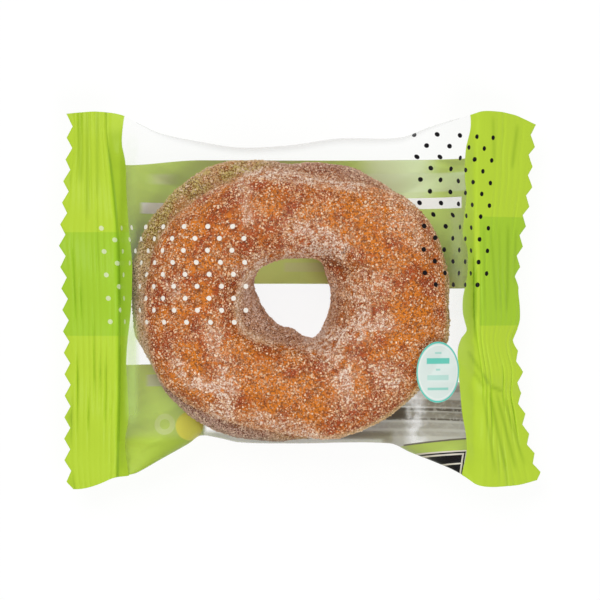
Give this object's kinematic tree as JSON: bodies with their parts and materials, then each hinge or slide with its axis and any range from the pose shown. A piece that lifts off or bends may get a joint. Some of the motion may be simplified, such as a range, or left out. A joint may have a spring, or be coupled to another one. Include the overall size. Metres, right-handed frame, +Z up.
{
  "type": "wrapped sugar ring doughnut",
  "caption": "Sugar-coated ring doughnut sealed in a clear and lime green flow-wrap pack with crimped, saw-edged ends, lying flat.",
  "frame": {"origin": "centre of the pack's footprint, on the surface it lies on", "axes": "+X along the pack from one crimped end to the other, +Y across it, +Z up through the shown front"},
  "size_m": [0.1356, 0.106, 0.038],
  "materials": {
    "printed_film": "lime green gloss film, clear over the doughnut, with a crimped seal at each end",
    "fried_dough": "matte golden brown fried crust",
    "sugar": "white sugar crystals, slightly translucent"
  },
  "bodies": {
    "root": {"sealed_doughnut_pack": "printed_film"}
  },
  "joints": []
}
